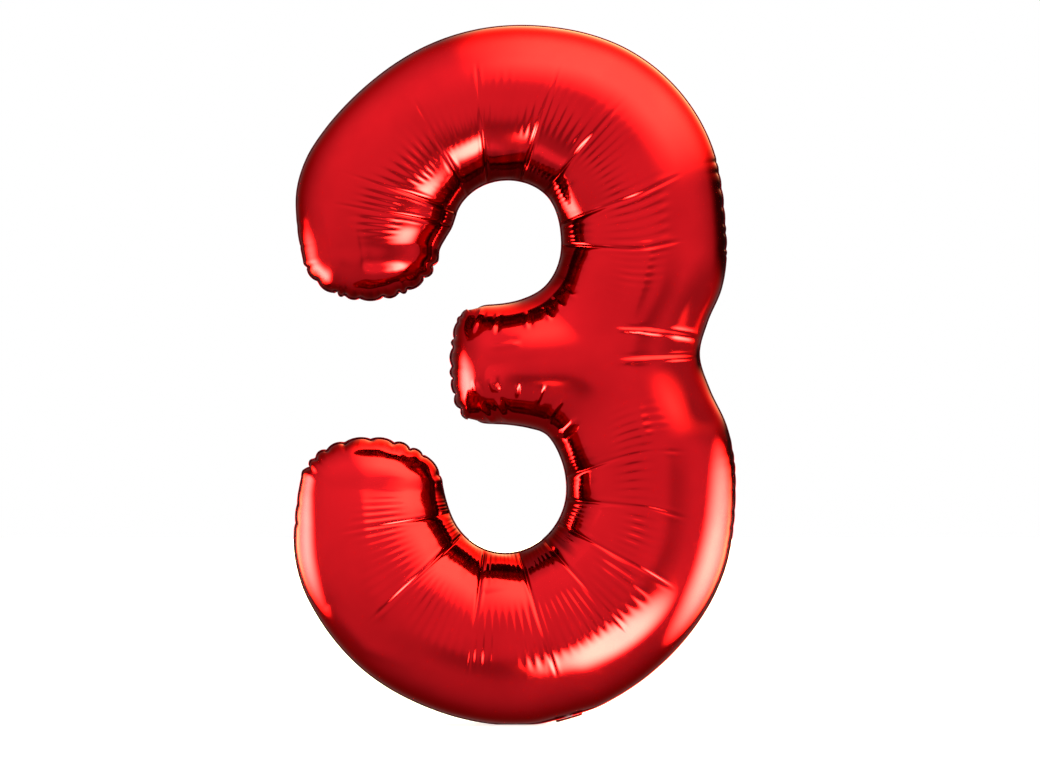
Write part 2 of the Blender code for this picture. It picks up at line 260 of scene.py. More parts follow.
# the filled foil body; places across the film run from 0 at the counter to 1 at the outer edge
foil = {
    "seamWidth": 0.0015,
    "lobeWidth": 0.0012,
    "alongBowl": 520,
    "alongArm": 130,
    "alongEnd": 28,
    "across": 90,
    "junctionDepth": 0.1030,
    "armDepth": 0.080,
    "armRound": 0.046,
    "armRise": 1.1,
    "armBend": 4,
    "upperDepth": {184: 0.064, 165: 0.078, 140: 0.087, 100: 0.091, 50: 0.092, 0: 0.089, -50: 0.0995},
    "lowerDepth": {-182: 0.064, -165: 0.078, -140: 0.090, -110: 0.098, -50: 0.098, 0: 0.092, 50: 0.0995},
    # long creases, as (angle at the counter, angle at the outer edge) about the bowl's centre
    "upperCreases": [(184, 184), (163, 168), (148, 158), (127, 122), (106, 98.5), (75.5, 72.5),
                     (52, 50), (18, 22), (-3, 3), (-50, -29.9)],
    "lowerCreases": [(-182, -182), (-157, -167), (-133, -136), (-107, -100), (-75, -73.5), (-50, -48.5),
                     (-30.5, -30), (-8, -10), (13, 9), (50, 34.4)],
    # lowest angle of each bowl, where its turn is unwrapped
    "upperLowest": -120,
    "lowerLowest": -230,
    "bowlBend": 5,
    "bowlRise": 6,
    "depthRounds": 400,
    # easing of the film round the junction, and everywhere: reach, weight, rounds
    "junctionEase": (0.105, 0.9, 260),
    "bodyEase": (0.7, 30),
    "facet": 1.6,
    "facetReach": (0.0, 0.10, 0.42, 0.60),
    "endFacet": 0.6,
    # detail fades over these shares of the last and of the first stretch
    "fadeOut": (0.1, 0.75),
    "fadeIn": (0.15, 0.8),
    "creaseDepth": 0.0011,
    "creaseWidth": 0.0016,
    "creaseReach": (0.01, 0.07, 0.50, 0.70),
    "creaseStrength": (0.6, 1.15),
    # raised lines beside a crease: share of its depth, distance, width
    "creaseLift": (0.35, 0.0042, 0.0024),
    "rippleStep": 0.0086,
    "rippleHeight": 0.00042,
    "rippleRadius": 0.158,
    # band of ripples: edges and how far they wander, width of each fade
    "bandLow": (0.345, 0.035, 0.10),
    "bandHigh": (0.60, 0.05, 0.12),
    "rippleVary": (0.5, 1.2),
    "innerStep": 0.0052,
    "innerHeight": 0.00012,
    "innerRadius": 0.088,
    "innerReach": (0.015, 0.07, 0.15, 0.27),
    "innerVary": (0.05, 0.6, 2.4),
    # knots of the random lines: along, slow and swing, on a stretch of this length
    "wander": (0.02, 0.045, 0.03),
    "wanderLength": 0.6,
    # where the folded neck presses on the front: place, reach and depth
    "neckSeat": ((0.060, 0.016), 0.034, 0.0014),
    # runs of the weld on the inside of a bend, where the film gathers; painted shade lies beside them as a
    # wide band
    "shadedBends": [("armTop", "upperInner"), ("lowerInner", "armBottom")],
    "seed": 7,
}


def turned(points, centre, lowest):
    # polar angles about a centre in degrees, unwrapped to start at the lowest one
    angle = np.degrees(np.arctan2(points[:, 1] - centre[1], points[:, 0] - centre[0]))
    return (angle - lowest) % 360 + lowest


def onArc(arc, centre, lowest, angles):
    found = turned(arc, centre, lowest)
    order = np.argsort(found)
    radius = np.linalg.norm(arc - centre, axis=1)[order]
    r = np.interp(angles, found[order], radius)
    turn = np.radians(angles)
    return centre + np.stack([r * np.cos(turn), r * np.sin(turn)], 1)


def alongCurve(points, shares):
    run = np.concatenate([[0], np.cumsum(np.linalg.norm(np.diff(points, axis=0), axis=1))])
    return np.stack([np.interp(shares * run[-1], run, points[:, k]) for k in (0, 1)], 1)


def rowPlaces(first, middle, last, depth, across):
    # points across one row of columns: first edge, over the crest, last edge
    v = np.linspace(0, 1, across + 1)
    share = (1 - np.cos(np.pi * v)) / 2
    low = np.clip(2 * share, 0, 1)[None, :, None]
    high = np.clip(2 * share - 1, 0, 1)[None, :, None]
    flat = first[:, None] + low * (middle - first)[:, None] + high * (last - middle)[:, None]
    rise = depth[:, None] * np.sin(np.pi * v)[None]
    return np.stack([flat[..., 0], rise, flat[..., 1]], -1)


rimLoop = outline + inwardOf * (foil["seamWidth"] + foil["lobeWidth"] * rimSpread)[:, None]


def rimStretch(a, b):
    i, j = runOf(a, b)
    return rimLoop[np.arange(i, j + 1) % len(outline)]


def bowlGrid(centre, inner, outer, creases, lowest, depths, junction):
    # u runs from the terminal to the junction, v from the counter to the outer edge
    centre = np.array(centre)
    creases = [list(c) for c in creases]
    creases[0] = [turned(inner[:1], centre, lowest)[0], turned(outer[:1], centre, lowest)[0]]
    creases[-1] = [turned(inner[-1:], centre, lowest)[0], turned(outer[-1:], centre, lowest)[0]]
    marks = np.array(creases)
    middle = marks.mean(1)
    nodes = np.abs(middle - middle[0])
    counts = np.maximum(np.round(np.diff(nodes) / nodes[-1] * foil["alongBowl"]), 6).astype(int)
    place, number = [], []
    for k, count in enumerate(counts):
        place.append(np.arange(count) / count)
        number.append(np.full(count, k))
    place = np.concatenate(place + [[1.0]])
    number = np.concatenate(number + [[len(counts) - 1]])
    inAngle = marks[number, 0] + place * (marks[number + 1, 0] - marks[number, 0])
    outAngle = marks[number, 1] + place * (marks[number + 1, 1] - marks[number, 1])
    first = onArc(inner, centre, lowest, inAngle)
    last = onArc(outer, centre, lowest, outAngle)
    first[0], first[-1], last[0], last[-1] = inner[0], inner[-1], outer[0], outer[-1]
    share = np.linspace(0, 1, len(place))
    bend = share ** foil["bowlBend"]
    shift = np.array(junction) - (first[-1] + last[-1]) / 2
    half = (first + last) / 2 + bend[:, None] * shift
    keys = sorted(depths)
    depth = np.interp(inAngle, keys, [depths[k] for k in keys])
    for _ in range(foil["depthRounds"]):
        depth[1:-1] = (depth[:-2] + depth[2:]) / 2
    depth = depth + (foil["junctionDepth"] - depth[-1]) * share ** foil["bowlRise"]
    grid = rowPlaces(first, half, last, depth, foil["across"])
    return {"grid": grid, "place": place, "number": number, "centre": centre,
            "in": marks[:, 0], "out": marks[:, 1]}


def swell(distance):
    # how full the arm is at a distance from its tip
    return np.sqrt(1 - (1 - np.clip(distance / foil["armRound"], 0, 1)) ** 2)


def endGrid(row, curve, depthRow, rounded=False):
    # the round end beyond a row; each line keeps its place across
    axis = row[-1] - row[0]
    width = np.linalg.norm(axis)
    axis = axis / width
    across = np.clip((curve - row[0]) @ axis / width, 0, 1)
    v = np.linspace(0, 1, foil["across"] + 1)
    share = (1 - np.cos(np.pi * v)) / 2
    order = np.argsort(across, kind="stable")
    far = np.stack([np.interp(share, across[order], curve[order, k]) for k in (0, 1)], 1)
    far[0], far[-1] = row[0], row[-1]
    t = np.linspace(0, 1, foil["alongEnd"] + 1)[:, None]
    near = row[0] + share[:, None] * (row[-1] - row[0])
    flat = near[None] + np.sin(t * np.pi / 2)[..., None] * (far - near)[None]
    rise = depthRow[None] * np.cos(t * np.pi / 2)
    if rounded:
        bulge = np.max(np.linalg.norm(far - near, axis=1))
        rise = depthRow[None] * swell(bulge * (1 - np.sin(t * np.pi / 2))) / swell(bulge)
    return np.stack([flat[..., 0], rise, flat[..., 1]], -1)


def halfBody():
    junction = figure["junction"]
    inner, outer = rimStretch("armTop", "upperInner")[::-1], rimStretch("upperOuter", "waist")
    upper = bowlGrid(figure["upperCentre"], inner, outer, foil["upperCreases"],
                     foil["upperLowest"], foil["upperDepth"], junction)
    inner, outer = rimStretch("lowerInner", "armBottom"), rimStretch("waist", "lowerOuter")[::-1]
    lower = bowlGrid(figure["lowerCentre"], inner, outer, foil["lowerCreases"],
                     foil["lowerLowest"], foil["lowerDepth"], junction)
    share = np.linspace(0, 1, foil["alongArm"] + 1)
    top = alongCurve(rimStretch("tipTop", "armTop"), share)
    bottom = alongCurve(rimStretch("armBottom", "tipBottom")[::-1], share)
    shift = np.array(junction) - (top[-1] + bottom[-1]) / 2
    middle = (top + bottom) / 2 + (share ** foil["armBend"])[:, None] * shift
    tip = rimStretch("tipBottom", "tipTop")
    reach = np.abs(tip[len(tip) // 2, 0] - middle[0, 0]) + np.linalg.norm(middle - middle[0], axis=1)
    deeper = foil["junctionDepth"] - foil["armDepth"]
    depth = foil["armDepth"] + deeper * np.sin(share * np.pi / 2) ** foil["armRise"]
    depth = depth * swell(reach)
    arm = rowPlaces(top, middle, bottom, depth, foil["across"])
    grids = [upper["grid"], lower["grid"], arm]
    ends = [(upper["grid"], rimStretch("upperInner", "upperOuter")),
            (lower["grid"], rimStretch("lowerOuter", "lowerInner")[::-1]),
            (arm, rimStretch("tipBottom", "tipTop")[::-1])]
    for grid, curve in ends:
        grids.append(endGrid(grid[0][:, [0, 2]], curve, grid[0][:, 1], rounded=grid is arm))
    return upper, lower, grids


def quadsOf(number):
    # the corners of each cell of a numbered grid
    corners = [number[:-1, :-1], number[1:, :-1], number[1:, 1:], number[:-1, 1:]]
    return np.stack(corners, -1).reshape(-1, 4)


def joined(grids):
    # one list of points and faces; points that share a place become one
    points, faces, start = [], [], 0
    for grid in grids:
        rows, columns = grid.shape[:2]
        points.append(grid.reshape(-1, 3))
        number = np.arange(rows * columns).reshape(rows, columns) + start
        quad = quadsOf(number)
        a, b, c = (points[-1][quad[:, k] - start] for k in (0, 1, 2))
        facing = np.sum(np.cross(b - a, c - a)[:, 1])
        faces.append(quad[:, ::-1] if facing < 0 else quad)
        start += rows * columns
    points, faces = np.vstack(points), np.vstack(faces)
    _, first, same = np.unique(np.round(points, 6), axis=0, return_index=True, return_inverse=True)
    return points[first], same.reshape(-1)[faces], first


def edgesOf(faces):
    pairs = np.vstack([faces[:, [0, 1]], faces[:, [1, 2]], faces[:, [2, 3]], faces[:, [3, 0]]])
    pairs = pairs[pairs[:, 0] != pairs[:, 1]]
    return np.unique(np.sort(pairs, 1), axis=0)


def eased(points, pairs, weight, rounds):
    # each point moves towards the middle of its neighbours
    count = np.bincount(pairs.reshape(-1), minlength=len(points))[:, None]
    points = points.copy()
    size = len(points)
    a, b = pairs[:, 0], pairs[:, 1]
    for _ in range(rounds):
        total = [np.bincount(a, points[b, k], size) + np.bincount(b, points[a, k], size) for k in range(3)]
        points += weight[:, None] * (np.stack(total, 1) / count - points)
    return points


def normalsOf(points, faces):
    total = np.zeros_like(points)
    a, b, c, d = (points[faces[:, k]] for k in range(4))
    face = np.cross(c - a, d - b)
    for k in range(4):
        for axis in range(3):
            total[:, axis] += np.bincount(faces[:, k], face[:, axis], len(points))
    return total / np.maximum(np.linalg.norm(total, axis=1), 1e-12)[:, None]


def wander(rng, count, spacing, length):
    # a smooth random line between -1 and 1
    knots = rng.uniform(-1, 1, int(length / spacing) + 3)
    at = np.linspace(0, len(knots) - 1.001, count)
    i = at.astype(int)
    t = at - i
    t = t * t * (3 - 2 * t)
    return knots[i] * (1 - t) + knots[i + 1] * t


def bowlDetail(bowl, normals, rng):
    # how far each point of a bowl moves along its normal: flats between creases, ripples, pinched lines
    grid = bowl["grid"]
    v = np.linspace(0, 1, grid.shape[1])[None]
    place, number = bowl["place"][:, None], bowl["number"]
    flat = grid[..., [0, 2]] - bowl["centre"]
    radius = np.linalg.norm(flat, axis=2)
    inwards = -np.sum(normals[..., [0, 2]] * flat / radius[..., None], axis=2)
    share = (1 - np.cos(np.pi * v)) / 2
    spanIn = np.abs(np.diff(bowl["in"]))[number][:, None]
    spanOut = np.abs(np.diff(bowl["out"]))[number][:, None]
    span = np.radians(spanIn + share * (spanOut - spanIn))
    ends = np.minimum(number, len(bowl["in"]) - 2 - number)[:, None]
    live = np.where(ends == 0, foil["endFacet"], 1.0)
    last = number == number.max()
    fade = np.where(last, 1 - smoothStep(*foil["fadeOut"], bowl["place"]), 1.0)[:, None]
    start = np.where(number == 0, smoothStep(*foil["fadeIn"], bowl["place"]), 1.0)[:, None]
    live = live * fade * start
    delta = (place - 0.5) * span
    reach = between(*foil["facetReach"], v)
    dip = 1 / np.cos(delta) - 1 - (span / 2) ** 2 / 6
    flats = -radius * dip * np.clip(inwards, 0, 1) * reach * foil["facet"]
    # pinched line at each crease
    near = np.minimum(place, 1 - place) * span * radius
    strength = rng.uniform(*foil["creaseStrength"], len(bowl["in"]))
    strength[0] = strength[-1] = 0
    close = np.where(bowl["place"] < 0.5, strength[number], strength[number + 1])[:, None]
    line = between(*foil["creaseReach"], v)
    pinch = -foil["creaseDepth"] * close * np.exp(-(near / foil["creaseWidth"]) ** 2) * line
    share, aside, width = foil["creaseLift"]
    lift = share * foil["creaseDepth"] * close * np.exp(-((near - aside) / width) ** 2) * line
    # fine ripples over the crest, and closer ones beside the counter
    arc = np.abs(np.diff((np.radians(bowl["out"]) + np.radians(bowl["in"])) / 2)) * foil["rippleRadius"]
    waves = np.maximum(np.round(arc / foil["rippleStep"]), 2)[number][:, None]
    along, slow, swing = (wander(rng, len(place), knots, foil["wanderLength"])[:, None]
                          for knots in foil["wander"])
    low, strays, soft = foil["bandLow"]
    low = low + strays * slow
    high, strays, softer = foil["bandHigh"]
    high = high + strays * swing
    band = between(low, low + soft, high - softer, high, v)
    taller, slide = foil["rippleVary"]
    wave = np.sin(2 * np.pi * waves * place + slide * slow)
    ripples = foil["rippleHeight"] * (1 + taller * along) * band * wave
    inArc = np.abs(np.diff(np.radians(bowl["in"]))) * foil["innerRadius"]
    fine = np.maximum(np.round(inArc / foil["innerStep"]), 2)[number][:, None]
    rise, full, fall, gone = foil["innerReach"]
    strays, taller, slide = foil["innerVary"]
    beside = between(rise, full, fall + strays * along, gone + strays * along, v)
    wave = np.sin(2 * np.pi * fine * place + slide * along)
    small = foil["innerHeight"] * (1 + taller * swing) * beside * wave
    return (flats + pinch + lift) * live + (ripples + small) * fade * start


def shapedHalf(side, seed):
    rng = np.random.default_rng(seed)
    upper, lower, grids = halfBody()
    points, faces, first = joined(grids)
    pairs = edgesOf(faces)
    away = np.linalg.norm(points[:, [0, 2]] - np.array(figure["junction"]), axis=1)
    reach, weight, rounds = foil["junctionEase"]
    soft = np.exp(-(away / reach) ** 4) * smoothStep(0.004, 0.04, points[:, 1])
    points = eased(points, pairs, soft * weight, rounds)
    weight, rounds = foil["bodyEase"]
    points = eased(points, pairs, smoothStep(0.002, 0.02, points[:, 1]) * weight, rounds)
    normals = normalsOf(points, faces)
    # detail worked out on each bowl's grid, then brought to the joined points
    sizes = [g.shape[0] * g.shape[1] for g in grids]
    starts = np.concatenate([[0], np.cumsum(sizes)])
    back = np.full(starts[-1], -1)
    back[first] = np.arange(len(first))
    move = np.zeros(len(points))
    for number, bowl in ((0, upper), (1, lower)):
        index = np.arange(starts[number], starts[number + 1])
        owner = back[index]
        shape = bowl["grid"].shape
        spread = np.zeros((len(index), 3))
        known = owner >= 0
        spread[known] = normals[owner[known]]
        spread = spread.reshape(shape)
        detail = bowlDetail(bowl, spread, rng).reshape(-1)
        move[owner[known]] = detail[known]
    points = points + normals * move[:, None]
    points = folded(points, normals, 1.0 if side < 0 else folds["rearShare"], rng)
    points = puckered(points, normals)
    if side < 0:
        seat, reach, depth = foil["neckSeat"]
        away = np.linalg.norm(points[:, [0, 2]] - np.array(seat), axis=1)
        press = depth * np.exp(-(away / reach) ** 4) * smoothStep(0.0, 0.006, points[:, 1])
        points = points - normals * press[:, None]
        points[:, 1] *= -1
        return points, faces[:, ::-1]
    return points, faces


# short pulled folds and long soft ridges on the body
folds = {
    # pulled folds as (from, to) in x and z, then their height
    "lines": [((-0.039, 0.513), (-0.053, 0.479), 0.0010), ((-0.020, 0.507), (-0.028, 0.479), 0.0010),
              ((0.015, 0.507), (0.014, 0.485), 0.0008), ((0.032, 0.512), (0.044, 0.496), 0.0010),
              ((0.046, 0.524), (0.058, 0.511), 0.0010), ((0.057, 0.534), (0.075, 0.522), 0.0010),
              ((-0.050, 0.424), (-0.043, 0.404), 0.0012), ((-0.031, 0.426), (-0.024, 0.409), 0.0014),
              ((-0.026, 0.427), (-0.019, 0.408), 0.0012), ((0.003, 0.419), (0.003, 0.403), 0.0012),
              ((0.035, 0.416), (0.026, 0.394), 0.0014), ((0.058, 0.401), (0.037, 0.370), 0.0016),
              ((0.076, 0.377), (0.054, 0.354), 0.0016), ((-0.023, 0.401), (-0.011, 0.373), 0.0014),
              ((-0.043, 0.393), (-0.023, 0.366), 0.0012), ((0.119, 0.484), (0.159, 0.483), 0.0012),
              ((0.148, 0.4835), (0.190, 0.479), 0.0012), ((0.180, 0.4805), (0.226, 0.4735), 0.0014),
              ((0.119, 0.445), (0.170, 0.448), 0.0013), ((0.155, 0.4475), (0.227, 0.451), 0.0013),
              ((-0.033, 0.463), (0.009, 0.468), 0.0010)],
    "width": 0.0030,
    "widthVary": (0.8, 0.4),
    "height": 1.35,
    "ends": (-0.02, 0.30, 0.70, 1.02),
    "trough": (0.5, 1.6),  # beside a fold: share of its height, distance in widths
    "rearShare": 0.7,
    # long soft ridges, as points and their height
    "ridges": [([(0.163, 0.592), (0.152, 0.540), (0.134, 0.492)], 0.0024),
               ([(0.143, 0.400), (0.152, 0.366), (0.160, 0.345)], 0.0022),
               ([(-0.232, 0.640), (-0.222, 0.590), (-0.215, 0.548)], 0.0018),
               ([(-0.196, 0.622), (-0.186, 0.580), (-0.184, 0.540)], 0.0020),
               ([(-0.187, 0.290), (-0.180, 0.210), (-0.165, 0.130)], 0.0022),
               ([(-0.226, 0.150), (-0.180, 0.098), (-0.120, 0.078)], 0.0016)],
    "ridgeWidth": 0.009,
}


def nearestRim(points, reach):
    # the closest point of the weld's inner edge, and how far off it is, for points within reach
    tree = kdtree.KDTree(len(rimLoop))
    for n, (x, z) in enumerate(rimLoop.tolist()):
        tree.insert((x, 0.0, z), n)
    tree.balance()
    index, away = np.zeros(len(points), int), np.full(len(points), 9.0)
    for n, place in enumerate(points.tolist()):
        _, number, distance = tree.find(place)
        if distance < reach:
            index[n], away[n] = number, distance
    return index, away


def puckered(points, normals):
    index, away = nearestRim(points, 0.10)
    height, t = lobeHeight[index], lobePlace[index]
    sine = np.sin(np.pi * t)
    share, hollow, reach = pucker["puff"]
    puff = share * height * (sine - hollow) * np.exp(-away / reach) * smoothStep(0.0, 0.006, away)
    share, width, wider, reach = pucker["notch"]
    side = np.minimum(t, 1 - t)
    width = width + wider * smoothStep(0.0, 0.04, away)
    notch = share * height * np.exp(-(side / width) ** 2 * 2.5) * np.exp(-away / reach)
    notch = notch * smoothStep(0.0, 0.005, away)
    pull = lobeIn[index] * np.exp(-away / pucker["pullReach"])
    points = points + normals * (puff + notch)[:, None]
    points[:, 0] += inwardOf[index, 0] * pull
    points[:, 2] += inwardOf[index, 1] * pull
    return points


# painted shade beside the weld: a wide dark band in the inner bends, a thin dark line beside the rest
paintedShadeBand = {
    "width": (0.0290, 0.0040, 0.0050),  # beside the counters: steady, slow and streaky part
    "edgeWidth": (0.0025, 0.0080, 0.45),  # beside the rest: least, more at full lobes, streaks
    "tone": (0.88, 0.18),
    "edgeShade": (0.52, 0.4),
    "fade": (0.50, 1.30),
    "runFade": 0.03,
    "streakStep": 0.0035,
    "slowStep": 0.022,
}


def paintedShadeOf(points, rng):
    # how much painted shade each point gets: a band beside the counters, a thin line beside the rest of the
    # weld
    index, away = nearestRim(points * np.array([1.0, 0.0, 1.0]), 0.05)
    count = len(outline)
    inner = np.zeros(count)
    for a, b in foil["shadedBends"]:
        i, j = runOf(a, b)
        at = np.arange(i, j + 1)
        edge = np.minimum(at - i, j - at) * tracing["step"]
        inner[at % count] = smoothStep(0.0, paintedShadeBand["runFade"], edge)
    streak = wander(rng, count, paintedShadeBand["streakStep"], count * tracing["step"])
    slow = wander(rng, count, paintedShadeBand["slowStep"], count * tracing["step"])
    steady, slowly, streaky = paintedShadeBand["width"]
    width = steady + slowly * slow + streaky * streak
    steady, more, streaky = paintedShadeBand["edgeWidth"]
    other = steady + more * np.clip(lobeHeight / pucker["full"], 0, 1) * (1 + streaky * streak)
    width = (inner * width + (1 - inner) * other)[index]
    steady, streaky = paintedShadeBand["tone"]
    plain, plainStreak = paintedShadeBand["edgeShade"]
    tone = (inner * (steady + streaky * streak) + (1 - inner) * (plain + plainStreak * streak))[index]
    return np.clip(tone * (1 - smoothStep(*paintedShadeBand["fade"], away / width)), 0, 1)


def toSegment(flat, a, b):
    # distance from a line, signed, and place along it
    a, b = np.array(a), np.array(b)
    along = b - a
    length = np.linalg.norm(along)
    along = along / length
    t = (flat - a) @ along / length
    off = (flat - a) @ np.array([-along[1], along[0]])
    return off, t, length


def folded(points, normals, scale, rng):
    flat = points[:, [0, 2]]
    rise = np.zeros(len(points))
    least, spread = folds["widthVary"]
    share, apart = folds["trough"]
    for a, b, height in folds["lines"]:
        off, t, _ = toSegment(flat, a, b)
        ends = between(*folds["ends"], t)
        width = folds["width"] * (least + spread * rng.random())
        shape = np.exp(-(off / width) ** 2) - share * np.exp(-((off - apart * width) / width) ** 2)
        rise += scale * folds["height"] * height * ends * shape
    for line, height in folds["ridges"]:
        best = np.full(len(points), 9.0)
        ends = np.zeros(len(points))
        for k, (a, b) in enumerate(zip(line, line[1:])):
            off, t, length = toSegment(flat, a, b)
            whole = (k + np.clip(t, 0, 1)) / (len(line) - 1)
            gap = np.hypot(off, np.maximum(np.maximum(-t, t - 1), 0) * length)
            closer = gap < best
            best = np.where(closer, gap, best)
            ends = np.where(closer, np.sin(np.pi * whole) ** 0.7, ends)
        rise += scale * height * ends * np.exp(-(best / folds["ridgeWidth"]) ** 2)
    return points + normals * rise[:, None]


def meshPiece(name, points, faces):
    mesh = bpy.data.meshes.new(name)
    polygons = []
    for face in faces.tolist():
        corner = [a for n, a in enumerate(face) if a != face[n - 1]]
        if len(set(corner)) >= 3:
            polygons.append(corner)
    mesh.from_pydata(points.tolist(), [], polygons)
    mesh.update()
    piece = bpy.data.objects.new(name, mesh)
    scene.collection.objects.link(piece)
    mesh.shade_smooth()
    return piece


def turnOut(piece):
    # every face points outwards
    work = bmesh.new()
    work.from_mesh(piece.data)
    bmesh.ops.recalc_face_normals(work, faces=work.faces)
    work.to_mesh(piece.data)
    work.free()


def foilBody():
    front, frontFaces = shapedHalf(-1, foil["seed"])
    rear, rearFaces = shapedHalf(1, foil["seed"] + 1)
    points = np.vstack([front, rear])
    faces = np.vstack([frontFaces, rearFaces + len(front)])
    piece = meshPiece("foilBody", points, faces)
    work = bmesh.new()
    work.from_mesh(piece.data)
    rim = [v for v in work.verts if abs(v.co.y) < 1e-6]
    bmesh.ops.remove_doubles(work, verts=rim, dist=2e-6)
    bmesh.ops.recalc_face_normals(work, faces=work.faces)
    openEdges = sum(1 for e in work.edges if len(e.link_faces) != 2)
    print("foil body: open edges", openEdges, "faces", len(work.faces))
    work.to_mesh(piece.data)
    work.free()
    places = np.empty(len(piece.data.vertices) * 3)
    piece.data.vertices.foreach_get("co", places)
    # painted shade beside the weld, kept on the body as a point attribute
    tone = paintedShadeOf(places.reshape(-1, 3), np.random.default_rng(foil["seed"] + 5))
    piece.data.attributes.new("paintedShade", "FLOAT", "POINT").data.foreach_set("value", tone)
    return piece


body = foilBody()
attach(body, "balloon")
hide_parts("front_panel", "rear_panel")
print("foil body made")


# the welded seam round the figure
seam = {"thickness": 0.0007, "overlap": 0.0012, "step": 2, "wave": 0.0011}


def seamPiece():
    order = np.arange(0, len(outline), seam["step"])
    edge = outline + inwardOf * lobeIn[:, None]
    inner = rimLoop + inwardOf * (seam["overlap"] + lobeIn[:, None])
    edge, inner = edge[order], inner[order]
    wave = seam["wave"] * lobeHeight[order] / pucker["full"] * np.cos(2 * np.pi * lobePlace[order])
    half = seam["thickness"] / 2
    # places across the strip: inner edge, middle, outer edge; front then back
    section = [(0.0, 0.6, 0.0), (0.5, 1.0, 0.3), (0.92, 0.9, 0.9), (1.0, 0.35, 1.0)]
    rings = []
    for side, parts in ((-1, section), (1, section[::-1])):
        for share, thick, waving in parts:
            flat = inner + share * (edge - inner)
            rings.append(np.stack([flat[:, 0], side * half * thick + wave * waving, flat[:, 1]], 1))
    count, around = len(order), len(rings)
    points = np.stack(rings, 1).reshape(-1, 3)
    faces = []
    for n in range(count):
        ahead = (n + 1) % count
        for k in range(around):
            up = (k + 1) % around
            faces.append((n * around + k, ahead * around + k, ahead * around + up, n * around + up))
    piece = meshPiece("weldedSeam", points, np.array(faces))
    turnOut(piece)
    return piece


band = seamPiece()
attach(band, "balloon")
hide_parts("seal_band")
print("seam made")


# neck and valve: flat film sleeves with pressed edges and crinkles
sleeve = {
    "neck": {"side": 34, "length": 46, "swell": 0.0011, "edge": 0.0003, "weld": 0.10, "crinkle": 0.0009},
    "valve": {"side": 26, "length": 90, "swell": 0.0006, "edge": 0.00015, "weld": 0.08, "crinkle": 0.0005},
    # random folds that make up the crinkles: how many, largest turn, pitch, slide
    "crinkles": 9,
    "turn": 0.9,
    "pitch": (4, 11),
    "slide": 6.28,
    "seed": 5,
}


def nodePoints(*names):
    found = []
    for name in names:
        data = frame["nodes"][name].data
        co = np.empty(len(data.vertices) * 3)
        data.vertices.foreach_get("co", co)
        found.append(co.reshape(-1, 3))
    return np.vstack(found)


def filmSleeve(name, nodes, settings, lengthwise, seed):
    # a flattened tube of film in the space that its nodes hold, welded along its two long edges
    rng = np.random.default_rng(seed)
    cloud = nodePoints(*nodes)
    widthways = np.array(frame["joints"][0]["axis"], float)
    widthways = widthways / np.linalg.norm(widthways)
    lengthwise = lengthwise - widthways * (lengthwise @ widthways)
    lengthwise = lengthwise / np.linalg.norm(lengthwise)
    through = np.cross(lengthwise, widthways)
    low = [(cloud @ a).min() for a in (widthways, lengthwise, through)]
    high = [(cloud @ a).max() for a in (widthways, lengthwise, through)]
    sides, rows = settings["side"], settings["length"]
    across = np.linspace(0, 1, sides + 1)[None]
    along = np.linspace(0, 1, rows + 1)[:, None]
    weld = smoothStep(0, settings["weld"], np.minimum(across, 1 - across) - settings["weld"] * 0.5)
    ends = smoothStep(0, 0.10, along) * 0.7 + 0.3
    half = settings["edge"] + settings["swell"] * weld * ends * np.sin(np.pi * across) ** 0.5
    crinkle = np.zeros((rows + 1, sides + 1))
    for _ in range(sleeve["crinkles"]):
        turn = rng.uniform(-sleeve["turn"], sleeve["turn"])
        pitch = rng.uniform(*sleeve["pitch"])
        slide = rng.uniform(0, sleeve["slide"])
        wave = np.sin(pitch * (across * math.sin(turn) + along * math.cos(turn)) * 2 + slide)
        crinkle += (1 - np.abs(wave)) * rng.uniform(-1, 1)
    crinkle = settings["crinkle"] * crinkle / 3 * smoothStep(0.0, 0.15, along)
    middle = (low[2] + high[2]) / 2
    wide = low[0] + across * (high[0] - low[0])
    far = low[1] + along * (high[1] - low[1])
    layers = []
    for side in (-1, 1):
        lift = middle + crinkle + side * half
        place = wide[..., None] * widthways + far[..., None] * lengthwise + lift[..., None] * through
        layers.append(place.reshape(-1, 3))
    number = np.arange((rows + 1) * (sides + 1)).reshape(rows + 1, sides + 1)
    quad = quadsOf(number)
    count = number.size
    faces = [quad, quad[:, ::-1] + count]
    border = np.concatenate([number[0, :-1], number[:-1, -1], number[-1, :0:-1], number[:0:-1, 0]])
    ahead = np.roll(border, -1)
    faces.append(np.stack([border, ahead, ahead + count, border + count], 1))
    piece = meshPiece(name, np.vstack(layers), np.vstack(faces))
    turnOut(piece)
    return piece


hinge = np.array(frame["joints"][0]["pos_m"], float)
neckCloud = nodePoints("neck_front", "neck_rear")
neck = filmSleeve("neckTail", ["neck_front", "neck_rear", "neck_seal_left", "neck_seal_right"],
                  sleeve["neck"], neckCloud.mean(0) - hinge, sleeve["seed"])
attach(neck, "neck")
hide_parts("neck_front", "neck_rear", "neck_seal_left", "neck_seal_right")
valveCloud = nodePoints("valve_film_front", "valve_film_rear")
valve = filmSleeve("valveSleeve", ["valve_film_front", "valve_film_rear"], sleeve["valve"],
                   valveCloud.mean(0) - hinge, sleeve["seed"] + 1)
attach(valve, "balloon")
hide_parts("valve_film_front", "valve_film_rear")
print("neck and valve made")


# what rolled, metallised film shows close up
filmDetail = {
    "cloud": {"Detail": 3.0, "Roughness": 0.55},
    "grain": {"Detail": 2.0, "Roughness": 0.6},
    "lines": {"Detail": 1.0},
    "lineSqueeze": (1.0, 1.0, 0.02),
    "scuff": {"Scale": 75.0, "Randomness": 1.0},
    "scuffWidth": 0.05,
    "patchScale": 14.0,
    "patches": (0.52, 0.68),
    "heightShares": (0.55, 0.45, -0.25),  # of the grain, the lines and the scuffs
    "wearShares": (0.55, 0.25, 0.30),  # of the clouds, the grain and the scuffs
    "cloudRange": (0.32, 0.62),
    "wearRange": (0.25, 0.75),
}

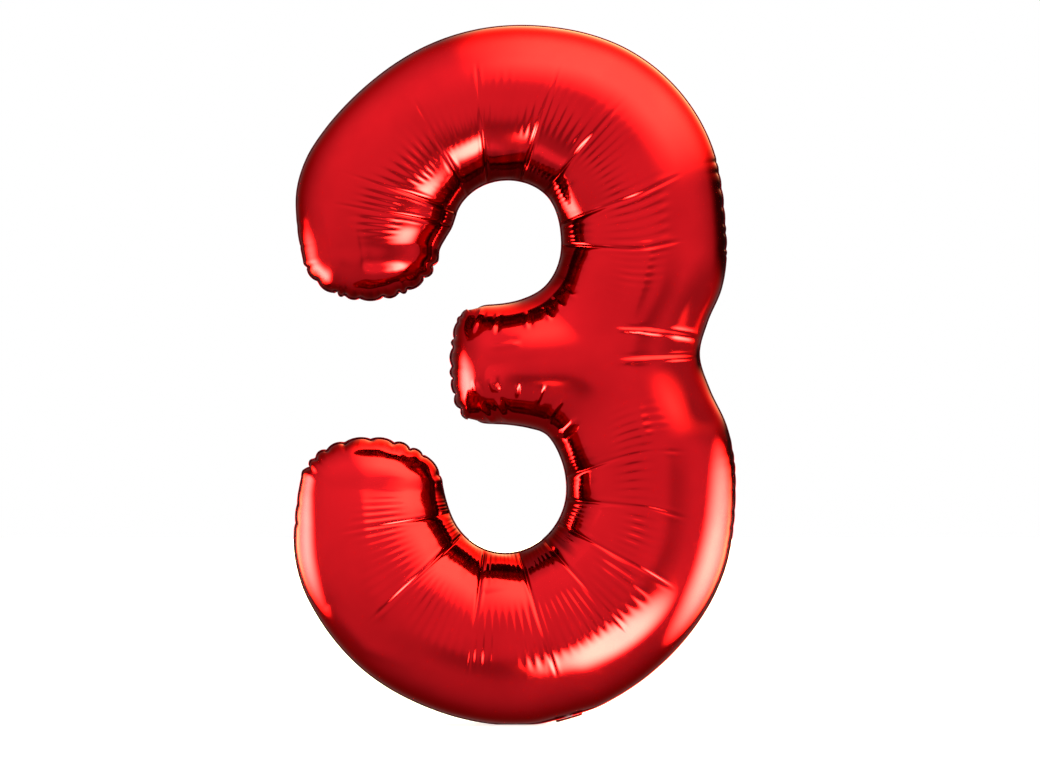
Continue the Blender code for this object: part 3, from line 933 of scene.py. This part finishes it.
finish = {
    "redFoil": {
        "light": (0.80, 0.0105, 0.0170, 1), "deep": (0.70, 0.0085, 0.0145, 1),
        # the first colour on the line below is the painted shade laid beside the weld
        "paintedShade": (0.26, 0.0050, 0.0080, 1), "edge": (0.95, 0.46, 0.44, 1), "rough": (0.075, 0.15),
        "coat": 0.02, "grain": 900.0, "cloud": 9.0, "lines": 700.0, "bump": 0.14},
    # the seam's foil is painted far darker than the body's: painted shade that keeps the lamps' glints off
    # the weld
    "seamFoil": {
        "light": (0.16, 0.0035, 0.0070, 1), "deep": (0.08, 0.0025, 0.0050, 1),
        "paintedShade": (0.08, 0.0025, 0.0050, 1), "edge": (0.40, 0.08, 0.08, 1), "rough": (0.10, 0.20),
        "coat": 0.03, "grain": 1400.0, "cloud": 40.0, "lines": 2600.0, "bump": 0.35},
    # the neck's foil is painted darker than the body's: painted shade on the neck tail folded behind the
    # body
    "neckFoil": {
        "light": (0.40, 0.0060, 0.0100, 1), "deep": (0.26, 0.0045, 0.0080, 1),
        "paintedShade": (0.20, 0.0040, 0.0070, 1), "edge": (0.60, 0.14, 0.14, 1), "rough": (0.10, 0.20),
        "coat": 0.04, "grain": 1100.0, "cloud": 60.0, "lines": 900.0, "bump": 0.30},
    "clearFilm": {
        "light": (0.86, 0.87, 0.88, 1), "deep": (0.74, 0.75, 0.78, 1), "rough": (0.28, 0.46),
        "alpha": 0.5, "grain": 1500.0, "cloud": 80.0, "lines": 1200.0, "bump": 0.3},
    "foilBump": 0.00004,
    "filmBump": 0.00005,
    "coatRough": 0.05,
}


def plug(tree, node, values):
    # links sockets, and sets plain values on the node's own sockets
    for key, value in values.items():
        if isinstance(value, bpy.types.NodeSocket):
            tree.links.new(value, node.inputs[key])
        else:
            node.inputs[key].default_value = value


def addNode(tree, kind, values=None, **settings):
    node = tree.nodes.new(kind)
    for key, value in settings.items():
        setattr(node, key, value)
    plug(tree, node, values or {})
    return node


def newMaterial(name):
    material = bpy.data.materials.new(name)
    material.use_nodes = True
    return material, material.node_tree, material.node_tree.nodes["Principled BSDF"]


def mathOf(tree, operation, a, b=0.0):
    return addNode(tree, "ShaderNodeMath", {0: a, 1: b}, operation=operation).outputs[0]


def dotOf(tree, vector, direction):
    return addNode(tree, "ShaderNodeVectorMath", {0: vector, 1: tuple(direction)},
                   operation="DOT_PRODUCT").outputs["Value"]


def cosOf(degrees):
    return math.cos(math.radians(degrees))


def rangeOf(tree, value, low, high, start, end):
    node = addNode(tree, "ShaderNodeMapRange", {"Value": value, "From Min": low, "From Max": high,
                   "To Min": start, "To Max": end}, interpolation_type="SMOOTHSTEP")
    return node.outputs["Result"]


def mixed(tree, factor, first, second):
    values = {"Factor": factor, 6: first, 7: second}
    return addNode(tree, "ShaderNodeMix", values, data_type="RGBA").outputs[2]


def filmSurfaceGroup():
    # soft clouds, a fine grain, faint roller lines and a few scuffs
    group = bpy.data.node_groups.new("filmSurface", "ShaderNodeTree")
    sides = [("Vector", "INPUT", "NodeSocketVector"), ("Cloud Scale", "INPUT", "NodeSocketFloat"),
             ("Grain Scale", "INPUT", "NodeSocketFloat"), ("Line Scale", "INPUT", "NodeSocketFloat"),
             ("Cloud", "OUTPUT", "NodeSocketFloat"), ("Wear", "OUTPUT", "NodeSocketFloat"),
             ("Height", "OUTPUT", "NodeSocketFloat")]
    for name, side, kind in sides:
        group.interface.new_socket(name=name, in_out=side, socket_type=kind)
    given = group.nodes.new("NodeGroupInput").outputs

    def noise(vector, scale, look=None):
        values = {"Vector": vector, "Scale": scale, **(look or {})}
        return addNode(group, "ShaderNodeTexNoise", values).outputs["Fac"]

    def total(parts, shares):
        weighed = [mathOf(group, "MULTIPLY", part, share) for part, share in zip(parts, shares)]
        return mathOf(group, "ADD", mathOf(group, "ADD", weighed[0], weighed[1]), weighed[2])

    vector = given["Vector"]
    cloud = noise(vector, given["Cloud Scale"], filmDetail["cloud"])
    grain = noise(vector, given["Grain Scale"], filmDetail["grain"])
    squeeze = addNode(group, "ShaderNodeMapping", {"Vector": vector, "Scale": filmDetail["lineSqueeze"]})
    lines = noise(squeeze.outputs[0], given["Line Scale"], filmDetail["lines"])
    scuff = addNode(group, "ShaderNodeTexVoronoi", {"Vector": vector, **filmDetail["scuff"]},
                    feature="DISTANCE_TO_EDGE").outputs["Distance"]
    scuff = rangeOf(group, scuff, 0.0, filmDetail["scuffWidth"], 1.0, 0.0)
    patch = rangeOf(group, noise(vector, filmDetail["patchScale"]), *filmDetail["patches"], 0.0, 1.0)
    scuff = mathOf(group, "MULTIPLY", scuff, patch)
    height = total((grain, lines, scuff), filmDetail["heightShares"])
    wear = total((cloud, grain, scuff), filmDetail["wearShares"])
    addNode(group, "NodeGroupOutput", {"Cloud": cloud, "Wear": wear, "Height": height})
    return group


filmSurface = filmSurfaceGroup()


def filmMaterial(name, bump):
    # what every film has: clouds of two tones, uneven roughness and fine relief
    look = finish[name]
    material, tree, shader = newMaterial(name)
    place = addNode(tree, "ShaderNodeTexCoord").outputs["Object"]
    values = {"Vector": place, "Cloud Scale": look["cloud"],
              "Grain Scale": look["grain"], "Line Scale": look["lines"]}
    film = addNode(tree, "ShaderNodeGroup", values, node_tree=filmSurface).outputs
    rough = rangeOf(tree, film["Wear"], *filmDetail["wearRange"], *look["rough"])
    values = {"Strength": look["bump"], "Distance": bump, "Height": film["Height"]}
    relief = addNode(tree, "ShaderNodeBump", values).outputs["Normal"]
    plug(tree, shader, {"Roughness": rough, "Normal": relief})
    return material, tree, shader, film["Cloud"], look


def metalFoil(name):
    material, tree, shader, cloud, look = filmMaterial(name, finish["foilBump"])
    tone = rangeOf(tree, cloud, *filmDetail["cloudRange"], 0.0, 1.0)
    colour = mixed(tree, tone, look["deep"], look["light"])
    # painted shade beside the weld darkens the colour; the body carries it as its own attribute
    paintedShade = addNode(tree, "ShaderNodeAttribute", attribute_name="paintedShade").outputs["Fac"]
    colour = mixed(tree, paintedShade, colour, look["paintedShade"])
    plug(tree, shader, {"Base Color": colour, "Specular Tint": look["edge"], "Metallic": 1.0,
                        "Coat Weight": look["coat"], "Coat Roughness": finish["coatRough"]})
    return material


def clearFilm():
    material, tree, shader, cloud, look = filmMaterial("clearFilm", finish["filmBump"])
    colour = mixed(tree, cloud, look["deep"], look["light"])
    plug(tree, shader, {"Base Color": colour, "Alpha": look["alpha"]})
    return material


def dress(piece, material):
    piece.data.materials.clear()
    piece.data.materials.append(material)


dress(body, metalFoil("redFoil"))
dress(band, metalFoil("seamFoil"))
dress(neck, metalFoil("neckFoil"))
valveFilm = clearFilm()
dress(valve, valveFilm)
for name in ("valve_mouth_front", "valve_mouth_rear"):
    for slot in frame["nodes"][name].material_slots:
        slot.material = valveFilm
print("finishes made")


# studio: pale floor, soft panels, a room that only reflections see
studio = {
    "floor": {"size": 14.0, "glow": 0.78, "cloud": 1.5, "tones": (0.90, 0.94), "rough": 0.9},
    # share of the light left for reflections within reflections, and the bounce it starts at
    "deepBounce": 0.02,
    "deepRoom": 0.50,
    "panelLimit": 1.5,
    "roomLimit": 2.5,
    "panelFade": (0.12, 0.5),
    # brightness of the room round the object, seen only in reflections
    "room": {"front": 0.80, "back": 0.20, "low": 0.62, "above": 0.22},
    # wedges of the room: the way they lie about the view, half widths, where they start and are full
    "overhead": {"turn": 61, "inner": 6, "outer": 50, "near": 22, "far": 64, "strength": 8.0,
                 "colour": (1.0, 0.92, 0.36, 1)},
    "dark": {"turn": 6, "inner": 6, "outer": 17, "near": 104, "far": 132, "strength": 0.88},
    "shade": {"turn": -62, "inner": 45, "outer": 80, "near": 18, "far": 33, "gone": 60, "strength": 0.42},
    # name: (place, aim, width, height, level, colour)
    "panels": {
        "lowFront": ((0.66, -0.84, -0.57), (0.03, 0, 0.38), 1.52, 0.86, 70.0, (1.0, 0.94, 0.46)),
        "rightLow": ((0.66, 0.14, 0.08), (0.20, 0.02, 0.16), 0.84, 0.80, 60.0, (1.0, 0.92, 0.46)),
        "leftLow": ((-0.70, 0.22, 0.22), (-0.20, 0.00, 0.27), 0.72, 0.76, 60.0, (1.0, 0.84, 0.46)),
        # plain cards that keep a lamp off a part of the object
        "waistCard": ((0.385, 0.0, 0.465), (0.22, 0.0, 0.53), 0.60, 0.30, 0.40, (1.0, 1.0, 1.0)),
        "endCard": ((-0.13, -0.21, 0.39), (-0.19, -0.06, 0.545), 0.30, 0.22, 0.95, (1.0, 1.0, 1.0)),
    },
}


def firstBounce(tree, first, later, limit):
    # one value for reflections seen directly, another for reflections within reflections
    depth = addNode(tree, "ShaderNodeLightPath").outputs["Ray Depth"]
    direct = mathOf(tree, "LESS_THAN", depth, limit)
    return mathOf(tree, "ADD", mathOf(tree, "MULTIPLY", direct, first - later), later)


def softPanel(name, place, aim, width, height, level, colour):
    bpy.ops.mesh.primitive_plane_add(size=1, location=place)
    panel = bpy.context.object
    panel.name = name
    panel.scale = (width, height, 1)
    panel.rotation_euler = (Vector(aim) - Vector(place)).to_track_quat("-Z", "Y").to_euler()
    material, tree, shader = newMaterial(name)
    material.cycles.emission_sampling = "NONE"
    spot = addNode(tree, "ShaderNodeTexCoord").outputs["Object"]
    away = addNode(tree, "ShaderNodeVectorMath", {0: spot}, operation="LENGTH").outputs["Value"]
    fade = rangeOf(tree, away, *studio["panelFade"], 1.0, 0.0)
    glow = firstBounce(tree, level, level * studio["deepBounce"], studio["panelLimit"])
    plug(tree, shader, {"Base Color": (0, 0, 0, 1), "Alpha": fade,
                        "Emission Color": (*colour, 1), "Emission Strength": glow})
    panel.data.materials.append(material)
    panel.visible_camera = False
    panel.visible_shadow = False
    panel.visible_diffuse = False


def paleFloor():
    look = studio["floor"]
    bpy.ops.mesh.primitive_plane_add(size=look["size"], location=(0, 0, 0))
    floor = bpy.context.object
    floor.name = "floor"
    material, tree, shader = newMaterial("paleFloor")
    place = addNode(tree, "ShaderNodeTexCoord").outputs["Object"]
    cloud = addNode(tree, "ShaderNodeTexNoise", {"Vector": place, "Scale": look["cloud"], "Detail": 2.0})
    tone = rangeOf(tree, cloud.outputs["Fac"], 0.3, 0.7, *look["tones"])
    grey = addNode(tree, "ShaderNodeCombineColor", {0: tone, 1: tone, 2: tone}).outputs[0]
    plug(tree, shader, {"Base Color": grey, "Roughness": look["rough"],
                        "Emission Color": (1, 1, 1, 1), "Emission Strength": look["glow"]})
    floor.data.materials.append(material)
    floor.visible_glossy = False
    floor.visible_shadow = False


paleFloor()
for name, (place, aim, width, height, level, colour) in studio["panels"].items():
    softPanel(name, place, aim, width, height, level, colour)


def studioWorld():
    world = bpy.data.worlds.new("studio")
    scene.world = world
    world.use_nodes = True
    world.cycles.sampling_method = "NONE"
    tree = world.node_tree
    tree.nodes.clear()
    room, over, dark, ring = studio["room"], studio["overhead"], studio["dark"], studio["shade"]
    ray = addNode(tree, "ShaderNodeTexCoord").outputs["Generated"]
    front = dotOf(tree, ray, (0, -1, 0))
    flat = addNode(tree, "ShaderNodeVectorMath", {0: ray, 1: (1, 0, 1)}, operation="MULTIPLY").outputs[0]
    flat = addNode(tree, "ShaderNodeVectorMath", {0: flat}, operation="NORMALIZE").outputs[0]

    def wedge(look):
        turn = math.radians(look["turn"])
        aside = dotOf(tree, flat, (math.cos(turn), 0, math.sin(turn)))
        aside = rangeOf(tree, aside, cosOf(look["outer"]), cosOf(look["inner"]), 0.0, 1.0)
        ahead = rangeOf(tree, front, cosOf(look["far"]), cosOf(look["near"]), 1.0, 0.0)
        return mathOf(tree, "MULTIPLY", aside, ahead)

    rise = dotOf(tree, ray, (0, 0, 1))
    shade = rangeOf(tree, front, -0.95, 0.45, room["back"], room["front"])
    shade = mathOf(tree, "MULTIPLY", shade, rangeOf(tree, rise, -0.9, 0.1, room["low"], 1.0))
    shade = mathOf(tree, "ADD", shade, rangeOf(tree, rise, 0.15, 0.9, 0.0, room["above"]))
    hide = mathOf(tree, "MULTIPLY", wedge(dark), -dark["strength"])
    shade = mathOf(tree, "MULTIPLY", shade, mathOf(tree, "ADD", hide, 1.0))
    thin = rangeOf(tree, front, cosOf(ring["gone"]), cosOf(ring["far"]), 0.0, -ring["strength"])
    thin = mathOf(tree, "MULTIPLY", wedge(ring), thin)
    shade = mathOf(tree, "MULTIPLY", shade, mathOf(tree, "ADD", thin, 1.0))
    behind = rangeOf(tree, front, -0.8, -0.1, over["strength"] * 0.35, over["strength"])
    glow = mathOf(tree, "MULTIPLY", wedge(over), behind)
    shade = mathOf(tree, "MULTIPLY", shade, firstBounce(tree, 1.0, studio["deepRoom"], studio["roomLimit"]))
    deep = firstBounce(tree, 1.0, studio["deepBounce"], studio["roomLimit"])
    glow = mathOf(tree, "MULTIPLY", glow, deep)
    roomLight = addNode(tree, "ShaderNodeBackground", {"Color": (1, 1, 1, 1), "Strength": shade})
    overLight = addNode(tree, "ShaderNodeBackground", {"Color": over["colour"], "Strength": glow})
    both = addNode(tree, "ShaderNodeAddShader", {0: roomLight.outputs[0], 1: overLight.outputs[0]})
    seen = addNode(tree, "ShaderNodeBackground", {"Color": (1, 1, 1, 1), "Strength": 1.0})
    path = addNode(tree, "ShaderNodeLightPath").outputs["Is Camera Ray"]
    pick = addNode(tree, "ShaderNodeMixShader", {0: path, 1: both.outputs[0], 2: seen.outputs[0]})
    addNode(tree, "ShaderNodeOutputWorld", {"Surface": pick.outputs[0]})


studioWorld()
scene.view_settings.view_transform = "Standard"
print("studio lit")
